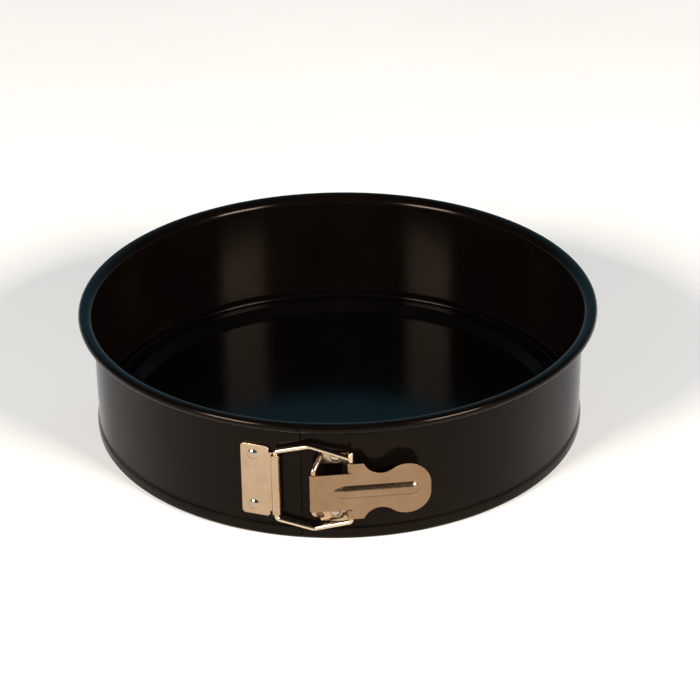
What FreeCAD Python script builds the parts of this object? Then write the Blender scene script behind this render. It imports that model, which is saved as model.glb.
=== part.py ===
import FreeCAD, Part
import math
import os

# A springform cake pan: a split steel band with a wire-and-lever latch, and a loose base.
# Millimetres, +Z up. The origin is on the pan's axis, at the level that the pan stands on.
# The latch is at the front (-Y), and azimuths are counted from +X towards +Y.

Vec = FreeCAD.Vector
ORIGIN = Vec(0, 0, 0)
UP = Vec(0, 0, 1)

# Band: one sheet, rolled at the foot and turned out at the rim
WALL_RADIUS = 130.0
BAND_SHEET = 0.6
PAN_HEIGHT = 68.3
RIM_RADIUS = 137.5
RIM_BEND = 5.0
HEM_BEND = 2.1
FOOT_BEND = 1.9
FOOT_BULGE = 0.9
FOOT_SIDE = 2.6
STEP_BEND_ANGLE = 25.0

# Band ends: the right end lies over a tongue of the left end
SEAM_X = -18.0
SEAM_GAP = 0.5
TONGUE_TIP_X = -8.0
TONGUE_CLEARANCE = 0.75
TONGUE_BOTTOM = 9.5
TONGUE_TOP = 62.5
JOG_LENGTH = 1.4

# The flexible band stands as three stiff arcs; these are the two splits between them
SPLIT_FROM_BACK = 53.5
SPLIT_GAP = 0.2

# Base: a shallow dish whose rim rests on the band's rolled foot
BASE_RADIUS = 127.6
BASE_SHEET = 0.8
BASE_RIM_UNDERSIDE = 4.45
BASE_FLOOR_RADIUS = 113.0
BASE_STEP_BEND = 2.5
BASE_STEP_ANGLE = 40.0
BASE_LIP_BEND = 1.4
BASE_LIP_ANGLE = 85.0
BASE_LIP_RUN = 0.6

# Latch
LATCH_Z = 31.6
PLATE_SHEET = 1.0
WIRE_RADIUS = 1.25
PIN_CLEARANCE = 0.07

HINGE_PLATE_AZIMUTH = 18.48
HINGE_PLATE_HEIGHT = 39.8
HINGE_PLATE_LEFT = -6.75
HINGE_PLATE_RIGHT = 7.9
HINGE_PLATE_RIVET_U = -0.4
HINGE_PLATE_RIVET_RISE = 14.3
PLATE_CORNER = 1.2
BARREL_U = 11.85
BARREL_LENGTH = 33.6
WALL_TOUCH_GAP = 0.05
CURL_SWEEP = 290.0

BRACKET_LEFT = -9.3
BRACKET_RIGHT = 5.6
BRACKET_RISE = 18.6
BRACKET_DROP = 20.3
WINDOW_HEIGHT = 25.0
WINDOW_RIGHT = 1.9
BRACKET_RIVET_X = -1.5
BRACKET_RIVET_RISE = 15.6

RIVET_HEAD_RADIUS = 2.9
RIVET_HEAD_HEIGHT = 1.2
RIVET_SHANK_RADIUS = 1.5
RIVET_HOLE_RADIUS = 1.55
RIVET_TAIL_RADIUS = 2.3
RIVET_TAIL_HEIGHT = 0.6

LEVER_PIVOT = Vec(-12.3, -137.2, 0)
BAIL_ON_LEVER = Vec(5.9, -135.1, 0)
HINGE_BAR_RADIUS = 1.3
HINGE_BAR_HALF = 12.2
HINGE_BAR_FOOT = Vec(-8.4, -130.5, 0)
HINGE_BAR_FOOT_RISE = 17.4
HINGE_BAR_BEND = 2.6

LEVER_SHEET = 0.8
LEVER_CURL_BORE = HINGE_BAR_RADIUS + 0.06
TONGUE_HALF_WIDTH = 10.2
SHOULDER_HALF_WIDTH = 15.6
KNUCKLE_INNER_Z = 10.9
NECK_S = 33.0
NECK_HALF_WIDTH = 9.7
NECK_ARC = 9.2
THUMB_S = 45.6
THUMB_OFFSET = 2.1
THUMB_ARC = 11.8
RIB_START = 7.5
RIB_FULL = 15.0
RIB_END = 48.0
RIB_ARC = 4.6
RIB_DEPTH = 2.9

BAIL_Z = 31.2
BAIL_CORNER_Z = 19.2
BAIL_VERTEX_Z = 23.4
BAIL_UPPER_VERTEX_S = 17.0
BAIL_LOWER_VERTEX_S = 18.4
BAIL_END_Z = 17.9
BAIL_END_BEND = 2.0
BAIL_CORNER_BEND = 1.8
BAIL_VERTEX_BEND = 5.0
BAIL_STUB_RADIUS = 1.15
BAIL_STUB_TOP = 21.6
CROSS_LEG_HALF = 16.1


def flat(x, y):
    """A point of a plan outline."""
    return Vec(x, y, 0)


def upright(x, z):
    """A point of an outline in the XZ plane."""
    return Vec(x, 0, z)


def heading_vector(degrees):
    return math.cos(math.radians(degrees)), math.sin(math.radians(degrees))


def wire_through(edges):
    return Part.Wire(Part.__sortEdges__(edges))


def bent_sheet(start, heading, moves, sheet, place):
    """Face of a bent sheet's edge view: each move is a run (length,) or a bend (radius, degrees left)."""
    x, y = start
    half = sheet / 2
    sides = {half: [], -half: []}

    def side_point(px, py, direction, offset):
        dx, dy = heading_vector(direction)
        return place(px - dy * offset, py + dx * offset)

    caps = [(x, y, heading)]
    for move in moves:
        if len(move) == 1:
            dx, dy = heading_vector(heading)
            nx, ny = x + dx * move[0], y + dy * move[0]
            for offset, edges in sides.items():
                a = side_point(x, y, heading, offset)
                b = side_point(nx, ny, heading, offset)
                edges.append(Part.makeLine(a, b))
            x, y = nx, ny
            continue
        radius, turn = move
        side = math.copysign(1, turn)
        dx, dy = heading_vector(heading)
        cx, cy = x - dy * radius * side, y + dx * radius * side
        stations = []
        for share in (0, 0.5, 1):
            angle = heading + turn * share
            ax, ay = heading_vector(angle)
            stations.append((cx + ay * radius * side, cy - ax * radius * side, angle))
        for offset, edges in sides.items():
            points = [side_point(px, py, angle, offset) for px, py, angle in stations]
            edges.append(Part.Arc(*points).toShape())
        x, y, heading = stations[-1]
    caps.append((x, y, heading))
    ends = [Part.makeLine(side_point(*cap, half), side_point(*cap, -half)) for cap in caps]
    return Part.Face(wire_through(sides[half] + sides[-half] + ends))


def spin(face, first_azimuth, last_azimuth):
    """Turn an XZ section about the pan's axis between two azimuths."""
    section = face.copy()
    section.rotate(ORIGIN, UP, first_azimuth)
    return section.revolve(ORIGIN, UP, last_azimuth - first_azimuth)


def wall_sector(inner, outer, bottom, top, first_azimuth, last_azimuth):
    corners = [upright(inner, bottom), upright(outer, bottom), upright(outer, top), upright(inner, top)]
    return spin(Part.Face(Part.makePolygon(corners + corners[:1])), first_azimuth, last_azimuth)


def straight(start, end):
    """The line between two points, or nothing where they are the same."""
    return [Part.makeLine(start, end)] if start.distanceToPoint(end) > 1e-6 else []


def rounded_path(points, radii):
    """A run of straight lines with an arc of the given radius at each inner point."""
    edges = []
    here = points[0]
    for before, corner, after, radius in zip(points, points[1:], points[2:], radii):
        arriving = (corner - before).normalize()
        leaving = (after - corner).normalize()
        half_turn = arriving.getAngle(leaving) / 2
        reach = radius * math.tan(half_turn)
        arc_start = corner - arriving * reach
        arc_end = corner + leaving * reach
        inward = (leaving - arriving).normalize()
        middle = corner + inward * (radius / math.cos(half_turn) - radius)
        edges += straight(here, arc_start)
        edges.append(Part.Arc(arc_start, middle, arc_end).toShape())
        here = arc_end
    edges += straight(here, points[-1])
    return Part.Wire(edges)


def rod(points, radii, radius):
    """A round bar along a bent path."""
    path = rounded_path(points, radii)
    direction = points[1] - points[0]
    ring = Part.Wire(Part.makeCircle(radius, points[0], direction))
    return path.makePipeShell([ring], True, True)


def azimuth_at(x, radius):
    """Azimuth of the point of a circle at this x, on the front side."""
    return -90.0 + math.degrees(math.asin(x / radius))


def band_section():
    """The sheet from the end of its rolled foot, up the wall, to the hem under the rim."""
    half = BAND_SHEET / 2
    wall = WALL_RADIUS - half
    foot_outer = FOOT_BEND + half
    foot_centre = WALL_RADIUS + FOOT_BULGE - foot_outer
    roll_start = 100.0
    dx, dy = heading_vector(roll_start)
    start = (foot_centre + dx * FOOT_BEND, foot_outer + dy * FOOT_BEND)
    step = math.radians(STEP_BEND_ANGLE)
    step_bend = FOOT_BULGE / (2 * (1 - math.cos(step)))
    wall_start = foot_outer + FOOT_SIDE + 2 * step_bend * math.sin(step)
    flange = PAN_HEIGHT - half
    hem_centre = RIM_RADIUS - HEM_BEND - half
    moves = [
        (FOOT_BEND, 360 - roll_start),
        (FOOT_SIDE,),
        (step_bend, STEP_BEND_ANGLE),
        (step_bend, -STEP_BEND_ANGLE),
        (flange - RIM_BEND - wall_start,),
        (RIM_BEND, -90),
        (hem_centre - wall - RIM_BEND,),
        (HEM_BEND, -270),
    ]
    return bent_sheet(start, roll_start + 90, moves, BAND_SHEET, upright)


def rivet_hole(azimuth_turn, x, z):
    """A drill through the wall at the front, turned about the pan's axis."""
    drill = Part.makeCylinder(RIVET_HOLE_RADIUS, 8, Vec(x, -WALL_RADIUS - 4, z), Vec(0, 1, 0))
    drill.rotate(ORIGIN, UP, azimuth_turn)
    return drill


def hinge_rivet_heights():
    return [LATCH_Z + HINGE_PLATE_RIVET_RISE, LATCH_Z - HINGE_PLATE_RIVET_RISE]


def bracket_rivet_heights():
    return [LATCH_Z + BRACKET_RIVET_RISE, LATCH_Z - BRACKET_RIVET_RISE]


def band_back():
    half_gap = math.degrees(SPLIT_GAP / 2 / WALL_RADIUS)
    half_span = SPLIT_FROM_BACK - half_gap
    return spin(band_section(), 90 - half_span, 90 + half_span)


def band_left():
    """The left arc, with the plain tongue that runs on under the right end."""
    half_gap = math.degrees(SPLIT_GAP / 2 / WALL_RADIUS)
    seam = azimuth_at(SEAM_X, WALL_RADIUS) - math.degrees(SEAM_GAP / WALL_RADIUS) + 360
    tip = azimuth_at(TONGUE_TIP_X, WALL_RADIUS) + 360
    body = spin(band_section(), 90 + SPLIT_FROM_BACK + half_gap, seam)
    tongue_outer = WALL_RADIUS - BAND_SHEET - TONGUE_CLEARANCE
    tongue_inner = tongue_outer - BAND_SHEET
    jog_start = seam - math.degrees(JOG_LENGTH / WALL_RADIUS)
    heights = (TONGUE_BOTTOM, TONGUE_TOP)
    jog = wall_sector(tongue_inner, WALL_RADIUS - BAND_SHEET / 2, *heights, jog_start, seam)
    tongue = wall_sector(tongue_inner, tongue_outer, *heights, jog_start, tip)
    shape = body.fuse([jog, tongue]).removeSplitter()
    for z in hinge_rivet_heights():
        shape = shape.cut(rivet_hole(-HINGE_PLATE_AZIMUTH, HINGE_PLATE_RIVET_U, z))
    return shape


def band_right():
    """The right arc, whose end is the outer layer at the latch."""
    half_gap = math.degrees(SPLIT_GAP / 2 / WALL_RADIUS)
    seam = azimuth_at(SEAM_X, WALL_RADIUS)
    shape = spin(band_section(), seam, 90 - SPLIT_FROM_BACK - half_gap)
    for z in bracket_rivet_heights():
        shape = shape.cut(rivet_hole(0, BRACKET_RIVET_X, z))
    return shape


def base_plate():
    """A round dish: flat floor, sloping step, flat rim and a short raised lip."""
    half = BASE_SHEET / 2
    rim = BASE_RIM_UNDERSIDE + half
    angle = math.radians(BASE_STEP_ANGLE)
    slope = (rim - half - 2 * BASE_STEP_BEND * (1 - math.cos(angle))) / math.sin(angle)
    step_width = 2 * BASE_STEP_BEND * math.sin(angle) + slope * math.cos(angle)
    lip = math.radians(BASE_LIP_ANGLE)
    lip_width = (BASE_LIP_BEND + half) * math.sin(lip) + BASE_LIP_RUN * math.cos(lip)
    rim_run = BASE_RADIUS - lip_width - BASE_FLOOR_RADIUS - step_width
    moves = [
        (BASE_FLOOR_RADIUS,),
        (BASE_STEP_BEND, BASE_STEP_ANGLE),
        (slope,),
        (BASE_STEP_BEND, -BASE_STEP_ANGLE),
        (rim_run,),
        (BASE_LIP_BEND, BASE_LIP_ANGLE),
        (BASE_LIP_RUN,),
    ]
    return spin(bent_sheet((0, half), 0, moves, BASE_SHEET, upright), 0, 360)


def clipped_plate(left, right, drop, rise):
    """A latch plate on the wall at the front, with clipped corners, from drop below to rise above."""
    corner = PLATE_CORNER
    back = -WALL_RADIUS - WALL_TOUCH_GAP
    outline = [
        (left + corner, -drop), (right - corner, -drop), (right, -drop + corner), (right, rise - corner),
        (right - corner, rise), (left + corner, rise), (left, rise - corner), (left, -drop + corner),
    ]
    points = [Vec(x, back, LATCH_Z + z) for x, z in outline]
    face = Part.Face(Part.makePolygon(points + points[:1]))
    return face.extrude(Vec(0, -PLATE_SHEET, 0))


def hinge_plate():
    """The riveted plate whose free edge is curled into the bail's barrel."""
    back = -WALL_RADIUS - WALL_TOUCH_GAP
    half_height = HINGE_PLATE_HEIGHT / 2
    plate = clipped_plate(HINGE_PLATE_LEFT, HINGE_PLATE_RIGHT, half_height, half_height)
    curl_bend = WIRE_RADIUS + PIN_CLEARANCE + PLATE_SHEET / 2
    start = (HINGE_PLATE_RIGHT - PLATE_CORNER - 1, back - PLATE_SHEET / 2)
    moves = [(BARREL_U - start[0],), (curl_bend, -CURL_SWEEP)]
    curl = bent_sheet(start, 0, moves, PLATE_SHEET, flat).extrude(UP * BARREL_LENGTH)
    curl.translate(UP * (LATCH_Z - BARREL_LENGTH / 2))
    shape = plate.fuse(curl).removeSplitter()
    shape.rotate(ORIGIN, UP, -HINGE_PLATE_AZIMUTH)
    for z in hinge_rivet_heights():
        shape = shape.cut(rivet_hole(-HINGE_PLATE_AZIMUTH, HINGE_PLATE_RIVET_U, z))
    return shape


def barrel_axis():
    """Where the bail turns in its barrel."""
    out = WALL_RADIUS + WALL_TOUCH_GAP + PLATE_SHEET + WIRE_RADIUS + PIN_CLEARANCE
    point = Vec(BARREL_U, -out, 0)
    turn = FreeCAD.Rotation(UP, -HINGE_PLATE_AZIMUTH)
    return turn.multVec(point)


def rivet(x, z, azimuth_turn):
    """A domed rivet through a latch plate and the wall, set inside the pan."""
    seat = -WALL_RADIUS - WALL_TOUCH_GAP - PLATE_SHEET
    inside = -WALL_RADIUS + BAND_SHEET + WALL_TOUCH_GAP
    end = inside + RIVET_TAIL_HEIGHT
    crown = seat - RIVET_HEAD_HEIGHT
    dome_radius = (RIVET_HEAD_RADIUS ** 2 + RIVET_HEAD_HEIGHT ** 2) / (2 * RIVET_HEAD_HEIGHT)
    half_angle = math.asin(RIVET_HEAD_RADIUS / dome_radius) / 2
    dome_middle = flat(dome_radius * math.sin(half_angle),
                       crown + dome_radius * (1 - math.cos(half_angle)))
    dome = Part.Arc(flat(0, crown), dome_middle, flat(RIVET_HEAD_RADIUS, seat)).toShape()
    corners = [flat(RIVET_HEAD_RADIUS, seat), flat(RIVET_SHANK_RADIUS, seat),
               flat(RIVET_SHANK_RADIUS, inside), flat(RIVET_TAIL_RADIUS, inside),
               flat(RIVET_TAIL_RADIUS, end), flat(0, end), flat(0, crown)]
    sides = [Part.makeLine(a, b) for a, b in zip(corners, corners[1:])]
    profile = Part.Face(wire_through([dome] + sides))
    shape = profile.revolve(ORIGIN, Vec(0, 1, 0), 360)
    shape.translate(Vec(x, 0, z))
    shape.rotate(ORIGIN, UP, azimuth_turn)
    return shape


def lever_bracket():
    """A riveted frame with a raised round bar, on which the lever's curl turns."""
    back = -WALL_RADIUS - WALL_TOUCH_GAP
    plate = clipped_plate(BRACKET_LEFT, BRACKET_RIGHT, BRACKET_DROP, BRACKET_RISE)
    window = Part.makeBox(WINDOW_RIGHT - BRACKET_LEFT + 5, 6, WINDOW_HEIGHT,
                          Vec(BRACKET_LEFT - 5, back - 3, LATCH_Z - WINDOW_HEIGHT / 2))
    middle = LEVER_PIVOT + UP * LATCH_Z
    foot = HINGE_BAR_FOOT + UP * LATCH_Z
    points = [foot + UP * HINGE_BAR_FOOT_RISE, middle + UP * HINGE_BAR_HALF,
              middle - UP * HINGE_BAR_HALF, foot - UP * HINGE_BAR_FOOT_RISE]
    bar = rod(points, [HINGE_BAR_BEND] * 2, HINGE_BAR_RADIUS)
    wall_side = Part.makeBox(60, 10, 80, Vec(-40, back, LATCH_Z - 40))
    shape = plate.cut(window).fuse(bar).cut(wall_side).removeSplitter()
    for z in bracket_rivet_heights():
        shape = shape.cut(rivet_hole(0, BRACKET_RIVET_X, z))
    return shape


def lever_outline():
    """Half of the lever's outline in (s, z), from the curl to the thumb end's middle."""
    neck_centre = (NECK_S, NECK_HALF_WIDTH + NECK_ARC)
    thumb_centre = (THUMB_S, THUMB_OFFSET)
    shoulder_drop = neck_centre[1] - SHOULDER_HALF_WIDTH
    shoulder_s = NECK_S - math.sqrt(NECK_ARC ** 2 - shoulder_drop ** 2)
    span = math.dist(neck_centre, thumb_centre)
    toward = ((THUMB_S - NECK_S) / span, (THUMB_OFFSET - neck_centre[1]) / span)
    meet = (neck_centre[0] + toward[0] * NECK_ARC, neck_centre[1] + toward[1] * NECK_ARC)
    diagonal = THUMB_ARC / math.sqrt(2)
    thumb_middle = (THUMB_S + diagonal, THUMB_OFFSET + diagonal)
    thumb_end = (THUMB_S + THUMB_ARC, THUMB_OFFSET)
    return {
        "corners": [(0, TONGUE_HALF_WIDTH), (knuckle_s(), TONGUE_HALF_WIDTH),
                    (knuckle_s(), SHOULDER_HALF_WIDTH), (shoulder_s, SHOULDER_HALF_WIDTH)],
        "neck": [(shoulder_s, SHOULDER_HALF_WIDTH), (NECK_S, NECK_HALF_WIDTH), meet],
        "thumb": [meet, thumb_middle, thumb_end],
    }


def knuckle_s():
    """Distance from the lever's pivot to the bail's cross leg."""
    return LEVER_PIVOT.distanceToPoint(BAIL_ON_LEVER)


def lever_rib(radius):
    """The rib's rounded body: pointed at the tongue, full in the middle, round at the thumb."""
    depth = RIB_DEPTH
    axis_y = -(LEVER_CURL_BORE + LEVER_SHEET) + depth
    along = Vec(1, 0, 0)
    shrink = radius - RIB_ARC
    point = Part.makeCone(depth + shrink, radius, RIB_FULL - RIB_START, Vec(RIB_START, axis_y, 0), along)
    bar = Part.makeCylinder(radius, RIB_END - RIB_FULL, Vec(RIB_FULL, axis_y, 0), along)
    end = Part.makeSphere(radius, Vec(RIB_END, axis_y, 0))
    return point.fuse([bar, end]).removeSplitter()


def latch_lever():
    """Stamped lever: a curl on the hinge bar, two knuckles on the bail, a rib and a thumb end."""
    inner_y = -LEVER_CURL_BORE
    outline = lever_outline()
    edges = []
    for side in (1, -1):
        corners = [Vec(s, inner_y, z * side) for s, z in outline["corners"]]
        edges += [Part.makeLine(a, b) for a, b in zip(corners, corners[1:])]
        for name in ("neck", "thumb"):
            edges.append(Part.Arc(*[Vec(s, inner_y, z * side) for s, z in outline[name]]).toShape())
    tip_s, tip_z = outline["thumb"][-1]
    edges.append(Part.makeLine(Vec(tip_s, inner_y, tip_z), Vec(tip_s, inner_y, -tip_z)))
    edges.append(Part.makeLine(Vec(0, inner_y, TONGUE_HALF_WIDTH), Vec(0, inner_y, -TONGUE_HALF_WIDTH)))
    sheet = Part.Face(wire_through(edges)).extrude(Vec(0, -LEVER_SHEET, 0))
    front = Part.makeBox(80, 20, 60, Vec(-10, inner_y - 20, -30))
    bump = lever_rib(RIB_ARC).common(front)
    bend = LEVER_CURL_BORE + LEVER_SHEET / 2
    curl_pieces = []
    for s, low, high in ((0, -TONGUE_HALF_WIDTH, TONGUE_HALF_WIDTH),
                         (knuckle_s(), KNUCKLE_INNER_Z, SHOULDER_HALF_WIDTH),
                         (knuckle_s(), -SHOULDER_HALF_WIDTH, -KNUCKLE_INNER_Z)):
        curl = bent_sheet((s, -bend), 180, [(bend, -CURL_SWEEP)], LEVER_SHEET, flat)
        curl.translate(UP * low)
        curl_pieces.append(curl.extrude(UP * (high - low)))
    shape = sheet.fuse([bump] + curl_pieces).cut(lever_rib(RIB_ARC - LEVER_SHEET)).removeSplitter()
    return on_lever(shape)


def on_lever(shape):
    """Place a piece made with the pivot at the origin and the lever along +X."""
    reach = BAIL_ON_LEVER - LEVER_PIVOT
    shape.rotate(ORIGIN, UP, math.degrees(math.atan2(reach.y, reach.x)))
    shape.translate(LEVER_PIVOT + UP * LATCH_Z)
    return shape


def wire_bail():
    """The six-sided wire loop, without the leg that lies in the lever."""
    pivot = barrel_axis()
    reach = BAIL_ON_LEVER - pivot
    length = reach.Length
    end_turn = math.atan2(length - BAIL_UPPER_VERTEX_S, BAIL_VERTEX_Z - BAIL_END_Z)
    low_turn = math.atan2(length - BAIL_LOWER_VERTEX_S, BAIL_VERTEX_Z - BAIL_END_Z)
    upper_end = BAIL_END_Z - BAIL_END_BEND * math.tan(end_turn / 2)
    lower_end = BAIL_END_Z - BAIL_END_BEND * math.tan(low_turn / 2)
    points = [
        upright(length, upper_end),
        upright(length, BAIL_END_Z),
        upright(BAIL_UPPER_VERTEX_S, BAIL_VERTEX_Z),
        upright(0, BAIL_CORNER_Z),
        upright(0, -BAIL_CORNER_Z),
        upright(BAIL_LOWER_VERTEX_S, -BAIL_VERTEX_Z),
        upright(length, -BAIL_END_Z),
        upright(length, -lower_end),
    ]
    radii = [BAIL_END_BEND, BAIL_VERTEX_BEND, BAIL_CORNER_BEND,
             BAIL_CORNER_BEND, BAIL_VERTEX_BEND, BAIL_END_BEND]
    loop = rod(points, radii, WIRE_RADIUS)
    stub_foot = upright(length, upper_end + WIRE_RADIUS)
    stub_height = BAIL_STUB_TOP - BAIL_STUB_RADIUS - stub_foot.z
    stub = Part.makeCylinder(BAIL_STUB_RADIUS, stub_height, stub_foot, UP)
    cap = Part.makeSphere(BAIL_STUB_RADIUS, stub_foot + UP * stub_height)
    shape = loop.fuse([stub.fuse(cap).removeSplitter()]).removeSplitter()
    shape.rotate(ORIGIN, UP, math.degrees(math.atan2(reach.y, reach.x)))
    shape.translate(pivot + UP * BAIL_Z)
    return shape


def wire_bail_cross_leg():
    """The bail's straight leg, held in the lever's knuckles."""
    foot = BAIL_ON_LEVER + UP * (BAIL_Z - CROSS_LEG_HALF)
    return Part.makeCylinder(WIRE_RADIUS, 2 * CROSS_LEG_HALF, foot, UP)


def pieces():
    made = {
        "band_back": band_back(),
        "band_left": band_left(),
        "band_right": band_right(),
        "base_plate": base_plate(),
        "hinge_plate": hinge_plate(),
        "lever_bracket": lever_bracket(),
        "latch_lever": latch_lever(),
        "wire_bail": wire_bail(),
        "wire_bail_cross_leg": wire_bail_cross_leg(),
    }
    for place, z in zip(("upper", "lower"), hinge_rivet_heights()):
        made["hinge_plate_rivet_" + place] = rivet(HINGE_PLATE_RIVET_U, z, -HINGE_PLATE_AZIMUTH)
    for place, z in zip(("upper", "lower"), bracket_rivet_heights()):
        made["bracket_rivet_" + place] = rivet(BRACKET_RIVET_X, z, 0)
    return made


def main():
    os.makedirs("parts", exist_ok=True)
    for name, shape in pieces().items():
        shape.exportStep("parts/" + name + ".step")
        print(name, len(shape.Solids), "solid", shape.isValid(), round(shape.Volume, 1), "mm3")


main()
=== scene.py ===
import bmesh
import bpy
import math
from mathutils import Matrix, Vector

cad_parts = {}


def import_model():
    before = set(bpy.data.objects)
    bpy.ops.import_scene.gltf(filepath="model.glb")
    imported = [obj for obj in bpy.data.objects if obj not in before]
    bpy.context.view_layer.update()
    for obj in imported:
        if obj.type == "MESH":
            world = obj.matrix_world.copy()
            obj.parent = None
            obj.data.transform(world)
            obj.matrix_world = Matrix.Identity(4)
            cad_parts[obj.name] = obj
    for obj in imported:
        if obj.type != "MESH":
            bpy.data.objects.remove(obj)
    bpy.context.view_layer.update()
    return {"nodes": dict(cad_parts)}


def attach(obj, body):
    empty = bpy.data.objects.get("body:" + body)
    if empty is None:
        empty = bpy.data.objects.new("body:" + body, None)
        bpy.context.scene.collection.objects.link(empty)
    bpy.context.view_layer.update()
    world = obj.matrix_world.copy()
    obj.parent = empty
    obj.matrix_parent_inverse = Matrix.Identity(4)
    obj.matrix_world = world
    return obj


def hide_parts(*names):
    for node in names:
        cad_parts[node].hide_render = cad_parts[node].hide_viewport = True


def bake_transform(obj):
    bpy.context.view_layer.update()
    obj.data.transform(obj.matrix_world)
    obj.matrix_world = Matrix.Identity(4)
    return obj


# The springform pan's looks. Lengths in the profiles are millimetres and turn into metres at MM.
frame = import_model()
MM = 0.001

# Band sheet, as in the CAD model
WALL_RADIUS = 130.0
BAND_SHEET = 0.6
PAN_HEIGHT = 68.3
RIM_RADIUS = 137.5
RIM_BEND = 5.0
HEM_BEND = 2.1
FOOT_BEND = 1.9
FOOT_BULGE = 0.9
FOOT_SIDE = 2.6
STEP_BEND_ANGLE = 25.0
FOOT_ROLL_START = 100.0

# Band ends: the tongue of the left end runs on under the right end
SEAM_X = -18.0
SEAM_GAP = 0.5
TONGUE_TIP_X = -8.0
TONGUE_CLEARANCE = 0.75
TONGUE_BOTTOM = 9.5
TONGUE_TOP = 62.5
JOG_LENGTH = 1.4

# Base dish
BASE_RADIUS = 127.6
BASE_SHEET = 0.8
BASE_RIM_UNDERSIDE = 4.45
BASE_FLOOR_RADIUS = 113.0
BASE_STEP_BEND = 2.5
BASE_STEP_ANGLE = 40.0
BASE_LIP_BEND = 1.4
BASE_LIP_ANGLE = 85.0
BASE_LIP_RUN = 0.6
BASE_CENTRE = 0.4

# Fineness of the meshes, in degrees
ARC_STEP = 9.0
AZIMUTH_STEP = 1.0
TONGUE_STEP = 0.5
JOG_STEP = 0.06

# Rounding of the latch pieces: angles in degrees, and the radius
FLAT_ANGLE = 0.3
SHARP_ANGLE = 32.0
LATCH_EDGE_ROUND = 0.25
LATCH_EDGE_SEGMENTS = 3

# Non-stick coating: relief depths in metres, roughness and strength of reflection
COATING_TINT = (1.0, 0.80, 0.66)
COATING_ROUGHNESS = (0.13, 0.18)
COATING_WAVE_DEPTH = 0.00012
COATING_PEEL_DEPTH = 0.000012
BAND_GLOSS = 0.088
BASE_GLOSS = 0.095

# Roughness of every noise pattern
NOISE_ROUGHNESS = 0.55

# Plated steel: relief depths in metres
PLATING_WAVE_DEPTH = 0.00003
PLATING_GRAIN_DEPTH = 0.000010

# Floor: half its side and its drop below the pan, in metres
FLOOR_HALF_SIDE = 9.0
FLOOR_DROP = 0.0003
FLOOR_ROUGHNESS = 0.9
FLOOR_GLOSS = 0.1
FLOOR_GLOW_COLOUR = (0.72, 0.86, 1.0)
FLOOR_GLOW = 0.12

# Surroundings
DARK_STUDIO = (0.012, 0.018, 0.022)
TEAL_BACK = (0.130, 0.390, 0.540)
PALE_HORIZON = (0.55, 0.60, 0.63)

# Softboxes: azimuths from +X and elevation in degrees, lengths in metres, power in watts
SOFTBOX_AZIMUTHS = {"softbox_right": -41, "softbox_left": -137}
SOFTBOX_ELEVATION = 27
SOFTBOX_DISTANCE = 3.5
SOFTBOX_WIDTH = 1.2
SOFTBOX_HEIGHT = 0.85
SOFTBOX_POWER = 185
SOFTBOX_COLOUR = (1.0, 0.90, 0.80)

# Camera: angles in degrees, distance in metres, target in millimetres
CAMERA_ELEVATION = 28.22
CAMERA_ROLL = -0.69
CAMERA_DISTANCE = 1.2
CAMERA_TARGET = (6.2, 0.0, 36.2)
CAMERA_LENS = 114.6
CAMERA_SENSOR = 36.0


def heading_vector(degrees):
    return math.cos(math.radians(degrees)), math.sin(math.radians(degrees))


def sheet_stations(start, heading, moves):
    """Points (x, z, heading) along a bent sheet's middle: a move is (length,) or (radius, degrees left)."""
    x, z = start
    stations = [(x, z, heading)]
    for move in moves:
        dx, dz = heading_vector(heading)
        if len(move) == 1:
            x, z = x + dx * move[0], z + dz * move[0]
            stations.append((x, z, heading))
            continue
        radius, turn = move
        side = math.copysign(1, turn)
        centre_x, centre_z = x - dz * radius * side, z + dx * radius * side
        steps = max(3, math.ceil(abs(turn) / ARC_STEP))
        for step in range(1, steps + 1):
            angle = heading + turn * step / steps
            ax, az = heading_vector(angle)
            stations.append((centre_x + az * radius * side, centre_z - ax * radius * side, angle))
        x, z, heading = stations[-1]
    return stations


def band_stations():
    """From the end of the rolled foot, up the wall and out to the hem under the rim."""
    half = BAND_SHEET / 2
    wall = WALL_RADIUS - half
    foot_outer = FOOT_BEND + half
    foot_centre = WALL_RADIUS + FOOT_BULGE - foot_outer
    dx, dz = heading_vector(FOOT_ROLL_START)
    start = (foot_centre + dx * FOOT_BEND, foot_outer + dz * FOOT_BEND)
    step = math.radians(STEP_BEND_ANGLE)
    step_bend = FOOT_BULGE / (2 * (1 - math.cos(step)))
    wall_start = foot_outer + FOOT_SIDE + 2 * step_bend * math.sin(step)
    flange = PAN_HEIGHT - half
    hem_centre = RIM_RADIUS - HEM_BEND - half
    moves = [
        (FOOT_BEND, 360 - FOOT_ROLL_START),
        (FOOT_SIDE,),
        (step_bend, STEP_BEND_ANGLE),
        (step_bend, -STEP_BEND_ANGLE),
        (flange - RIM_BEND - wall_start,),
        (RIM_BEND, -90),
        (hem_centre - wall - RIM_BEND,),
        (HEM_BEND, -270),
    ]
    return sheet_stations(start, FOOT_ROLL_START + 90, moves)


def base_stations():
    """From the middle of the floor, up the step, out over the rim and up its lip."""
    half = BASE_SHEET / 2
    rim = BASE_RIM_UNDERSIDE + half
    angle = math.radians(BASE_STEP_ANGLE)
    lip = math.radians(BASE_LIP_ANGLE)
    slope = (rim - half - 2 * BASE_STEP_BEND * (1 - math.cos(angle))) / math.sin(angle)
    step_width = 2 * BASE_STEP_BEND * math.sin(angle) + slope * math.cos(angle)
    lip_width = (BASE_LIP_BEND + half) * math.sin(lip) + BASE_LIP_RUN * math.cos(lip)
    moves = [
        (BASE_FLOOR_RADIUS - BASE_CENTRE,),
        (BASE_STEP_BEND, BASE_STEP_ANGLE),
        (slope,),
        (BASE_STEP_BEND, -BASE_STEP_ANGLE),
        (BASE_RADIUS - lip_width - BASE_FLOOR_RADIUS - step_width,),
        (BASE_LIP_BEND, BASE_LIP_ANGLE),
        (BASE_LIP_RUN,),
    ]
    return sheet_stations((BASE_CENTRE, half), 0, moves)


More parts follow.
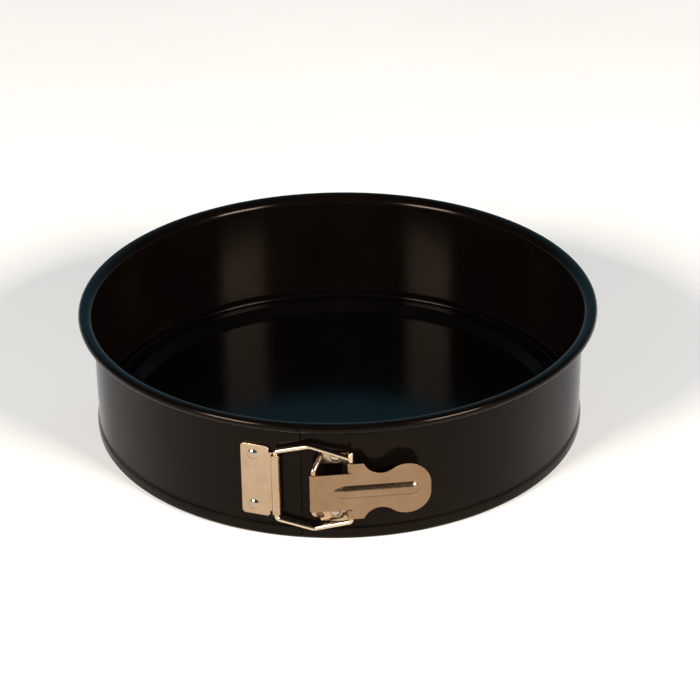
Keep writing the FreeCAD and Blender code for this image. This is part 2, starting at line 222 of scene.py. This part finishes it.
class Shell:
    """A mesh in the making, with the normal of every face corner."""

    def __init__(self):
        self.points = []
        self.faces = []
        self.normals = []

    def point(self, radius, azimuth, z):
        cx, cy = heading_vector(azimuth)
        self.points.append((radius * cx * MM, radius * cy * MM, z * MM))
        return len(self.points) - 1

    def face(self, corners, normals=None):
        """A face whose corners have given normals, or the face's own."""
        if normals is None:
            a, b, c = (Vector(self.points[corners[i]]) for i in (0, 1, 2))
            normals = [(b - a).cross(c - b).normalized()] * len(corners)
        self.faces.append(corners)
        self.normals += normals

    def build(self, name):
        mesh = bpy.data.meshes.new(name)
        mesh.from_pydata(self.points, [], self.faces)
        mesh.polygons.foreach_set("use_smooth", [True] * len(self.faces))
        mesh.normals_split_custom_set(self.normals)
        piece = bpy.data.objects.new(name, mesh)
        bpy.context.scene.collection.objects.link(piece)
        return piece


def turned(normal_x, normal_z, azimuth):
    cx, cy = heading_vector(azimuth)
    return Vector((normal_x * cx, normal_x * cy, normal_z))


def lathe(shell, stations, sheet, azimuths, full_circle=False):
    """Turn a bent sheet about the pan's axis. The left face is the one on the left of its heading."""
    half = sheet / 2
    rings = []
    for azimuth in azimuths:
        left, right = [], []
        for x, z, heading in stations:
            dx, dz = heading_vector(heading)
            left.append((shell.point(x - dz * half, azimuth, z + dx * half), turned(-dz, dx, azimuth)))
            right.append((shell.point(x + dz * half, azimuth, z - dx * half), turned(dz, -dx, azimuth)))
        rings.append((left, right))
    pairs = list(zip(rings, rings[1:]))
    if full_circle:
        pairs.append((rings[-1], rings[0]))

    def quad(*corners):
        shell.face([index for index, normal in corners], [normal for index, normal in corners])

    def plain(*corners):
        shell.face([index for index, normal in corners])

    last = len(stations) - 1
    for (left, right), (next_left, next_right) in pairs:
        for i in range(last):
            quad(left[i], left[i + 1], next_left[i + 1], next_left[i])
            quad(right[i], next_right[i], next_right[i + 1], right[i + 1])
        plain(left[last], right[last], next_right[last], next_left[last])
        if not full_circle:
            plain(left[0], next_left[0], next_right[0], right[0])
    if full_circle:
        plain(*[left[0] for left, right in rings])
        plain(*[right[0] for left, right in reversed(rings)])
        return
    left, right = rings[0]
    for i in range(last):
        plain(left[i], right[i], right[i + 1], left[i + 1])
    left, right = rings[-1]
    for i in range(last):
        plain(left[i], left[i + 1], right[i + 1], right[i])


def azimuth_at(x, radius):
    """Azimuth of the point of a circle at this x, on the front side, from 180 to 360."""
    return 270.0 + math.degrees(math.asin(x / radius))


def spread(first, last, step):
    count = max(1, math.ceil(abs(last - first) / step))
    return [first + (last - first) * i / count for i in range(count + 1)]


def tongue(shell, seam):
    """The plain strip that steps inwards at the seam and runs on under the right end."""
    jog_start = seam - math.degrees(JOG_LENGTH / WALL_RADIUS)
    tip = azimuth_at(TONGUE_TIP_X, WALL_RADIUS)
    outer_end = WALL_RADIUS - BAND_SHEET - TONGUE_CLEARANCE
    outer_start = WALL_RADIUS - BAND_SHEET / 2
    azimuths = spread(jog_start, seam, JOG_STEP) + spread(seam, tip, TONGUE_STEP)[1:]
    columns = []
    for azimuth in azimuths:
        share = min(1.0, (azimuth - jog_start) / (seam - jog_start))
        drop = share * share * (3 - 2 * share)
        slope = 6 * share * (1 - share) * (outer_end - outer_start) / JOG_LENGTH
        outer = outer_start + (outer_end - outer_start) * drop
        inner = outer_end - BAND_SHEET if share == 1 else min(outer, WALL_RADIUS - BAND_SHEET) - BAND_SHEET
        cx, cy = heading_vector(azimuth)
        normal = Vector((cx + slope * cy, cy - slope * cx, 0)).normalized()
        corners = [shell.point(radius, azimuth, z)
                   for radius in (outer, inner) for z in (TONGUE_BOTTOM, TONGUE_TOP)]
        columns.append((corners, normal))
    for (here, normal), (there, next_normal) in zip(columns, columns[1:]):
        shell.face([here[0], there[0], there[1], here[1]], [normal, next_normal, next_normal, normal])
        shell.face([here[2], here[3], there[3], there[2]], [-normal, -normal, -next_normal, -next_normal])
        shell.face([here[1], there[1], there[3], here[3]])
        shell.face([here[0], here[2], there[2], there[0]])
    first, last = columns[0][0], columns[-1][0]
    shell.face([first[0], first[1], first[3], first[2]])
    shell.face([last[0], last[2], last[3], last[1]])


def band_sheets(material):
    """The band as it is: one springy sheet, whose halves meet at the back."""
    stations = band_stations()
    right_seam = azimuth_at(SEAM_X, WALL_RADIUS)
    left_seam = right_seam - math.degrees(SEAM_GAP / WALL_RADIUS)

    right = Shell()
    lathe(right, stations, BAND_SHEET, spread(right_seam - 360, 90, AZIMUTH_STEP))
    left = Shell()
    lathe(left, stations, BAND_SHEET, spread(90, left_seam, AZIMUTH_STEP))
    tongue(left, left_seam)

    for name, shell, side in (("band_right", right, 1), ("band_left", left, -1)):
        piece = shell.build(name + "_sheet")
        piece.data.materials.append(material)
        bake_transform(piece)
        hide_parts("band_back", name)


def base_dish(material):
    shell = Shell()
    azimuths = [i * AZIMUTH_STEP for i in range(round(360 / AZIMUTH_STEP))]
    lathe(shell, base_stations(), BASE_SHEET, azimuths, full_circle=True)
    piece = shell.build("base_dish")
    piece.data.materials.append(material)
    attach(piece, "base_plate")
    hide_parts("base_plate")


# Materials

def new_material(name):
    material = bpy.data.materials.new(name)
    material.use_nodes = True
    return material, material.node_tree


def noise(tree, scale, detail):
    """Noise in the object's own space, with a scale per metre."""
    nodes, links = tree.nodes, tree.links
    place = nodes.new("ShaderNodeTexCoord")
    texture = nodes.new("ShaderNodeTexNoise")
    texture.inputs["Scale"].default_value = scale
    texture.inputs["Detail"].default_value = detail
    texture.inputs["Roughness"].default_value = NOISE_ROUGHNESS
    links.new(place.outputs["Object"], texture.inputs["Vector"])
    return texture.outputs["Fac"]


def ramp(tree, factor, stops):
    """A ramp between (position, colour) stops."""
    node = tree.nodes.new("ShaderNodeValToRGB")
    elements = node.color_ramp.elements
    while len(elements) < len(stops):
        elements.new(0.5)
    for element, (position, colour) in zip(elements, stops):
        element.position = position
        element.color = (*colour, 1.0)
    tree.links.new(factor, node.inputs["Fac"])
    return node.outputs["Color"]


def span(tree, factor, low, high, from_low=0.3, from_high=0.7):
    """A number between low and high, following a factor."""
    node = tree.nodes.new("ShaderNodeMapRange")
    node.inputs["From Min"].default_value = from_low
    node.inputs["From Max"].default_value = from_high
    node.inputs["To Min"].default_value = low
    node.inputs["To Max"].default_value = high
    tree.links.new(factor, node.inputs["Value"])
    return node.outputs["Result"]


def bump(tree, height, depth, below=None):
    """Relief of a depth in metres, on top of another relief."""
    node = tree.nodes.new("ShaderNodeBump")
    node.inputs["Strength"].default_value = 1.0
    node.inputs["Distance"].default_value = depth
    tree.links.new(height, node.inputs["Height"])
    if below is not None:
        tree.links.new(below, node.inputs["Normal"])
    return node.outputs["Normal"]


def nonstick(name, dark, light, gloss):
    """Baked-on non-stick coating: near black, semi-gloss, with a fine orange peel."""
    material, tree = new_material(name)
    shader = tree.nodes["Principled BSDF"]
    cloud = noise(tree, 22, 5)
    peel = noise(tree, 1400, 2)
    colour = ramp(tree, cloud, [(0.3, dark), (0.7, light)])
    tree.links.new(colour, shader.inputs["Base Color"])
    tree.links.new(span(tree, noise(tree, 60, 6), *COATING_ROUGHNESS), shader.inputs["Roughness"])
    waves = bump(tree, cloud, COATING_WAVE_DEPTH)
    tree.links.new(bump(tree, peel, COATING_PEEL_DEPTH, waves), shader.inputs["Normal"])
    shader.inputs["Specular IOR Level"].default_value = gloss
    shader.inputs["Specular Tint"].default_value = (*COATING_TINT, 1.0)
    return material


def plated(name, dark, light, low_roughness, high_roughness, grain_scale):
    """Plated steel: a warm metal with fine grain and faint blotches."""
    material, tree = new_material(name)
    shader = tree.nodes["Principled BSDF"]
    shader.inputs["Metallic"].default_value = 1.0
    blotches = noise(tree, 120, 6)
    grain = noise(tree, grain_scale, 3)
    tree.links.new(ramp(tree, blotches, [(0.3, dark), (0.7, light)]), shader.inputs["Base Color"])
    tree.links.new(span(tree, grain, low_roughness, high_roughness), shader.inputs["Roughness"])
    waves = bump(tree, blotches, PLATING_WAVE_DEPTH)
    tree.links.new(bump(tree, grain, PLATING_GRAIN_DEPTH, waves), shader.inputs["Normal"])
    return material


def finished_copy(node_name, body, material):
    """A latch piece with its burrs taken off: the CAD shape, with its sharp edges rounded."""
    mesh = frame["nodes"][node_name].data.copy()
    mesh.name = node_name + "_finished"
    shape = bmesh.new()
    shape.from_mesh(mesh)
    bmesh.ops.remove_doubles(shape, verts=shape.verts, dist=0.001 * MM)
    flat_angle = math.radians(FLAT_ANGLE)
    bmesh.ops.dissolve_limit(shape, angle_limit=flat_angle, verts=shape.verts, edges=shape.edges)
    sharp = math.radians(SHARP_ANGLE)
    edges = [edge for edge in shape.edges if edge.is_manifold and edge.calc_face_angle() > sharp]
    bmesh.ops.bevel(shape, geom=edges, offset=LATCH_EDGE_ROUND * MM, offset_type="OFFSET",
                    segments=LATCH_EDGE_SEGMENTS, profile=0.5, affect="EDGES", clamp_overlap=True)
    shape.to_mesh(mesh)
    shape.free()
    mesh.polygons.foreach_set("use_smooth", [True] * len(mesh.polygons))
    mesh.set_sharp_from_angle(angle=sharp)
    mesh.materials.clear()
    mesh.materials.append(material)
    piece = bpy.data.objects.new(node_name + "_finished", mesh)
    bpy.context.scene.collection.objects.link(piece)
    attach(piece, body)
    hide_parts(node_name)


def finish_nodes(names, material):
    for name in names:
        node = frame["nodes"][name]
        node.data.materials.clear()
        node.data.materials.append(material)


def latch_looks():
    plate = plated("hinge_plate_metal", (0.38, 0.275, 0.180), (0.455, 0.330, 0.220), 0.15, 0.30, 2600)
    # The lever gets a darker copy of the hinge plate's plating: painted shade for the lever's face, which
    # is the same plated steel as the plate
    lever = plated("lever_metal_painted_shade", (0.228, 0.145, 0.083), (0.270, 0.176, 0.102), 0.15, 0.30, 2600)
    wire = plated("wire_metal", (0.52, 0.41, 0.29), (0.62, 0.50, 0.36), 0.10, 0.18, 1800)
    rivet = plated("rivet_metal", (0.355, 0.280, 0.210), (0.410, 0.335, 0.260), 0.14, 0.24, 2400)
    finished_copy("hinge_plate", "band_left", plate)
    finished_copy("lever_bracket", "band_right", plate)
    finished_copy("latch_lever", "latch_lever", lever)
    finish_nodes(["wire_bail", "wire_bail_cross_leg"], wire)
    finish_nodes([name for name in frame["nodes"] if "rivet" in name], rivet)


# Stage

def floor():
    side = FLOOR_HALF_SIDE
    mesh = bpy.data.meshes.new("floor")
    corners = [(-side, -side), (side, -side), (side, side), (-side, side)]
    mesh.from_pydata([(x, y, -FLOOR_DROP) for x, y in corners], [], [(0, 1, 2, 3)])
    piece = bpy.data.objects.new("floor", mesh)
    bpy.context.scene.collection.objects.link(piece)
    material, tree = new_material("pale_floor")
    shader = tree.nodes["Principled BSDF"]
    shader.inputs["Roughness"].default_value = FLOOR_ROUGHNESS
    shader.inputs["Specular IOR Level"].default_value = FLOOR_GLOSS
    shader.inputs["Emission Color"].default_value = (*FLOOR_GLOW_COLOUR, 1.0)
    shader.inputs["Emission Strength"].default_value = FLOOR_GLOW
    colour = ramp(tree, noise(tree, 3, 3), [(0.3, (0.84, 0.84, 0.84)), (0.7, (0.88, 0.88, 0.88))])
    tree.links.new(colour, shader.inputs["Base Color"])
    mesh.materials.append(material)


def world():
    """A dim studio: dark overhead and in front, blue-grey at the back, with a pale horizon."""
    scene_world = bpy.data.worlds.new("studio")
    bpy.context.scene.world = scene_world
    scene_world.use_nodes = True
    tree = scene_world.node_tree
    place = tree.nodes.new("ShaderNodeTexCoord")
    split = tree.nodes.new("ShaderNodeSeparateXYZ")
    tree.links.new(place.outputs["Generated"], split.inputs["Vector"])
    depth = ramp(tree, span(tree, split.outputs["Y"], 0.0, 1.0, 0.0, 1.0),
                 [(0.35, DARK_STUDIO), (0.85, TEAL_BACK)])
    pale = ramp(tree, split.outputs["Z"], [(0.06, (1.0, 1.0, 1.0)), (0.24, (0.0, 0.0, 0.0))])
    mix = tree.nodes.new("ShaderNodeMix")
    mix.data_type = "RGBA"
    mix.inputs["B"].default_value = (*PALE_HORIZON, 1.0)
    tree.links.new(pale, mix.inputs["Factor"])
    tree.links.new(depth, mix.inputs["A"])
    tree.links.new(mix.outputs["Result"], tree.nodes["Background"].inputs["Color"])


def softbox(name, azimuth):
    """A soft light aimed at the pan."""
    light = bpy.data.lights.new(name, "AREA")
    light.shape = "RECTANGLE"
    light.size = SOFTBOX_WIDTH
    light.size_y = SOFTBOX_HEIGHT
    light.energy = SOFTBOX_POWER
    light.color = SOFTBOX_COLOUR
    cx, cy = heading_vector(azimuth)
    flat_reach, rise = heading_vector(SOFTBOX_ELEVATION)
    out = Vector((cx * flat_reach, cy * flat_reach, rise))
    piece = bpy.data.objects.new(name, light)
    piece.location = out * SOFTBOX_DISTANCE
    piece.rotation_euler = out.to_track_quat("Z", "Y").to_euler()
    bpy.context.scene.collection.objects.link(piece)


def lights():
    """Two low warm softboxes, to the left and right of the camera."""
    for name, azimuth in SOFTBOX_AZIMUTHS.items():
        softbox(name, azimuth)


def camera():
    """A long lens that looks down on the pan from the front."""
    elevation = math.radians(CAMERA_ELEVATION)
    roll = math.radians(CAMERA_ROLL)
    target = Vector(CAMERA_TARGET) * MM
    back = Vector((0, -math.cos(elevation), math.sin(elevation)))
    side = Vector((1, 0, 0))
    up = back.cross(side)
    rolled_side = side * math.cos(roll) + up * math.sin(roll)
    rolled_up = up * math.cos(roll) - side * math.sin(roll)
    data = bpy.data.cameras.new("camera")
    data.sensor_width = CAMERA_SENSOR
    data.lens = CAMERA_LENS
    data.clip_start = 0.05
    piece = bpy.data.objects.new("camera", data)
    turn = Matrix((rolled_side, rolled_up, back)).transposed().to_4x4()
    piece.matrix_world = Matrix.Translation(target + back * CAMERA_DISTANCE) @ turn
    bpy.context.scene.collection.objects.link(piece)
    bpy.context.scene.camera = piece


camera()
lights()
world()
floor()
bpy.context.scene.view_settings.view_transform = "Standard"
coating = nonstick("band_coating", (0.0016, 0.0011, 0.0008), (0.0028, 0.0019, 0.0014), BAND_GLOSS)
base_coating = nonstick("base_coating", (0.0012, 0.0010, 0.0010), (0.0020, 0.0017, 0.0016), BASE_GLOSS)
band_sheets(coating)
base_dish(base_coating)
latch_looks()
